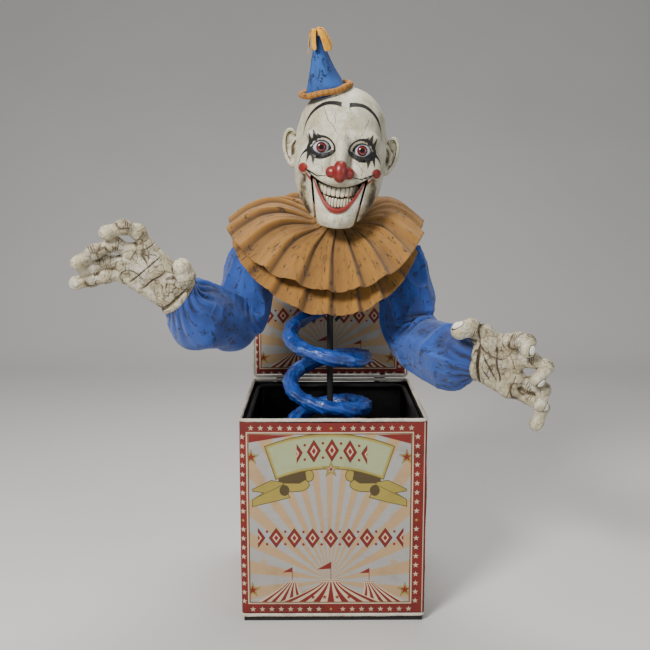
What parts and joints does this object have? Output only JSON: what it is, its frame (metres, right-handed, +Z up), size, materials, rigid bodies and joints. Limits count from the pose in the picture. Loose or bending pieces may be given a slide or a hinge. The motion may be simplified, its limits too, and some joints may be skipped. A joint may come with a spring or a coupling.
{
  "type": "jack in the box",
  "caption": "Square fabric jack-in-the-box with a hinged lid and a clown figure on a rising mast, a coil body, turning head, opening jaw and jointed arms.",
  "frame": {"origin": "centre of the base plate's underside, on the floor", "axes": "+Z up, the object's front (the side that shows the print and the face) towards -Y, +X to the viewer's right"},
  "size_m": [1.0072, 0.4958, 1.3112],
  "materials": {
    "black_steel": "satin black paint",
    "black_plastic": "fine moulded texture",
    "bright_steel": "zinc plated",
    "white_nylon": "moulded nylon",
    "printed_fabric": "printed polyester on a foam backing, red and cream",
    "white_piping": "cream bound piping",
    "blue_satin": "glossy royal blue satin over a soft core",
    "blue_cloth": "royal blue polyester with dark stains",
    "ochre_cloth": "mustard polyester with dark stains",
    "ivory_latex": "painted latex with a dark wash",
    "ivory_plastic": "painted and aged shell",
    "teeth": "glossy yellowed white",
    "red_paint": "glossy red",
    "eye": "clear gloss over a painted ball"
  },
  "bodies": {
    "root": {"base_plate": "black_plastic", "bottom_ring": "black_steel", "top_ring": "black_steel", "corner_post_front_left": "black_steel", "corner_post_front_right": "black_steel", "corner_post_rear_left": "black_steel", "corner_post_rear_right": "black_steel", "box_cover": "printed_fabric", "top_piping": "white_piping", "bottom_piping": "white_piping", "mast_socket": "black_steel", "outer_mast": "black_steel", "gear_motor": "black_plastic", "control_box": "black_plastic", "dc_inlet": "bright_steel", "speaker": "black_plastic", "box_hinge_leaf_left": "bright_steel", "box_hinge_leaf_right": "bright_steel", "body_spring": "blue_satin"},
    "lid": {"lid_panel": "printed_fabric", "lid_piping": "white_piping", "lid_hinge_leaf_left": "bright_steel", "lid_hinge_leaf_right": "bright_steel"},
    "pinion_gear": {"pinion": "white_nylon"},
    "switch": {"power_switch": "black_plastic"},
    "figure": {"inner_mast": "black_steel", "rack": "white_nylon", "mast_brace": "black_steel", "shoulder_yoke": "black_steel", "torso_plate": "black_plastic", "shirt": "blue_cloth", "collar_upper": "ochre_cloth", "collar_lower": "ochre_cloth", "neck_servo": "black_plastic"},
    "head": {"neck_shaft": "black_steel", "head_shell": "ivory_plastic", "right_eye": "eye", "left_eye": "eye", "nose": "red_paint", "right_ear": "ivory_plastic", "left_ear": "ivory_plastic", "upper_teeth": "teeth", "jaw_servo": "black_plastic", "hat_cone": "blue_cloth", "hat_brim": "ochre_cloth", "hat_tassel": "ochre_cloth"},
    "jaw": {"jaw_shell": "ivory_plastic", "lower_teeth": "teeth", "jaw_axle": "bright_steel"},
    "right_upper_arm": {"right_upper_arm_bar": "black_steel", "right_upper_sleeve": "blue_cloth"},
    "right_forearm": {"right_forearm_bar": "black_steel", "right_forearm_sleeve": "blue_cloth"},
    "right_hand": {"right_hand": "ivory_latex"},
    "left_upper_arm": {"left_upper_arm_bar": "black_steel", "left_upper_sleeve": "blue_cloth"},
    "left_forearm": {"left_forearm_bar": "black_steel", "left_forearm_sleeve": "blue_cloth"},
    "left_hand": {"left_hand": "ivory_latex"}
  },
  "joints": [
    {"name": "lid_hinge", "type": "hinge", "parent": "root", "child": "lid", "pos_m": [0, 0.2127, 0.4705], "axis": [-1, 0, 0], "range_deg": [0, 95]},
    {"name": "mast_lift", "type": "slide", "parent": "root", "child": "figure", "axis": [0, 0, 1], "range_m": [-0.05, 0], "deforming": ["body_spring"]},
    {"name": "pinion_spin", "type": "hinge", "parent": "root", "child": "pinion_gear", "pos_m": [-0.045, 0, 0.27], "axis": [0, 1, 0], "range_deg": [-6, 186]},
    {"name": "head_turn", "type": "hinge", "parent": "figure", "child": "head", "pos_m": [0.008, -0.03, 0.9], "axis": [0, 0, 1], "range_deg": [-20, 20]},
    {"name": "jaw_open", "type": "hinge", "parent": "head", "child": "jaw", "pos_m": [0.01358, -0.08, 0.99917], "axis": [0.9962, 0, -0.0872], "range_deg": [0, 12]},
    {"name": "power_switch_rock", "type": "hinge", "parent": "root", "child": "switch", "pos_m": [-0.135, 0.2055, 0.0675], "axis": [1, 0, 0], "range_deg": [0, 10]},
    {"name": "right_shoulder", "type": "hinge", "parent": "figure", "child": "right_upper_arm", "pos_m": [-0.185, 0, 0.845], "axis": [0, 1, 0], "range_deg": [0, 10]},
    {"name": "right_elbow", "type": "hinge", "parent": "right_upper_arm", "child": "right_forearm", "pos_m": [-0.215, -0.02, 0.645], "axis": [-0.7756, 0.6312, 0], "range_deg": [-5, 8]},
    {"name": "right_wrist", "type": "hinge", "parent": "right_forearm", "child": "right_hand", "pos_m": [-0.32, -0.165, 0.722], "axis": [-0.4183, 0.9083, 0], "range_deg": [-10, 10]},
    {"name": "left_shoulder", "type": "hinge", "parent": "figure", "child": "left_upper_arm", "pos_m": [0.165, 0, 0.84], "axis": [0, -1, 0], "range_deg": [0, 10]},
    {"name": "left_elbow", "type": "hinge", "parent": "left_upper_arm", "child": "left_forearm", "pos_m": [0.182, -0.03, 0.61], "axis": [-0.8085, -0.5885, 0], "range_deg": [-5, 8]},
    {"name": "left_wrist", "type": "hinge", "parent": "left_forearm", "child": "left_hand", "pos_m": [0.297, -0.188, 0.601], "axis": [-0.48, -0.8773, 0], "range_deg": [-10, 10]}
  ],
  "couplings": [
    {"joint": "pinion_spin", "follows": "mast_lift", "rad_per_m": -62.5}
  ]
}
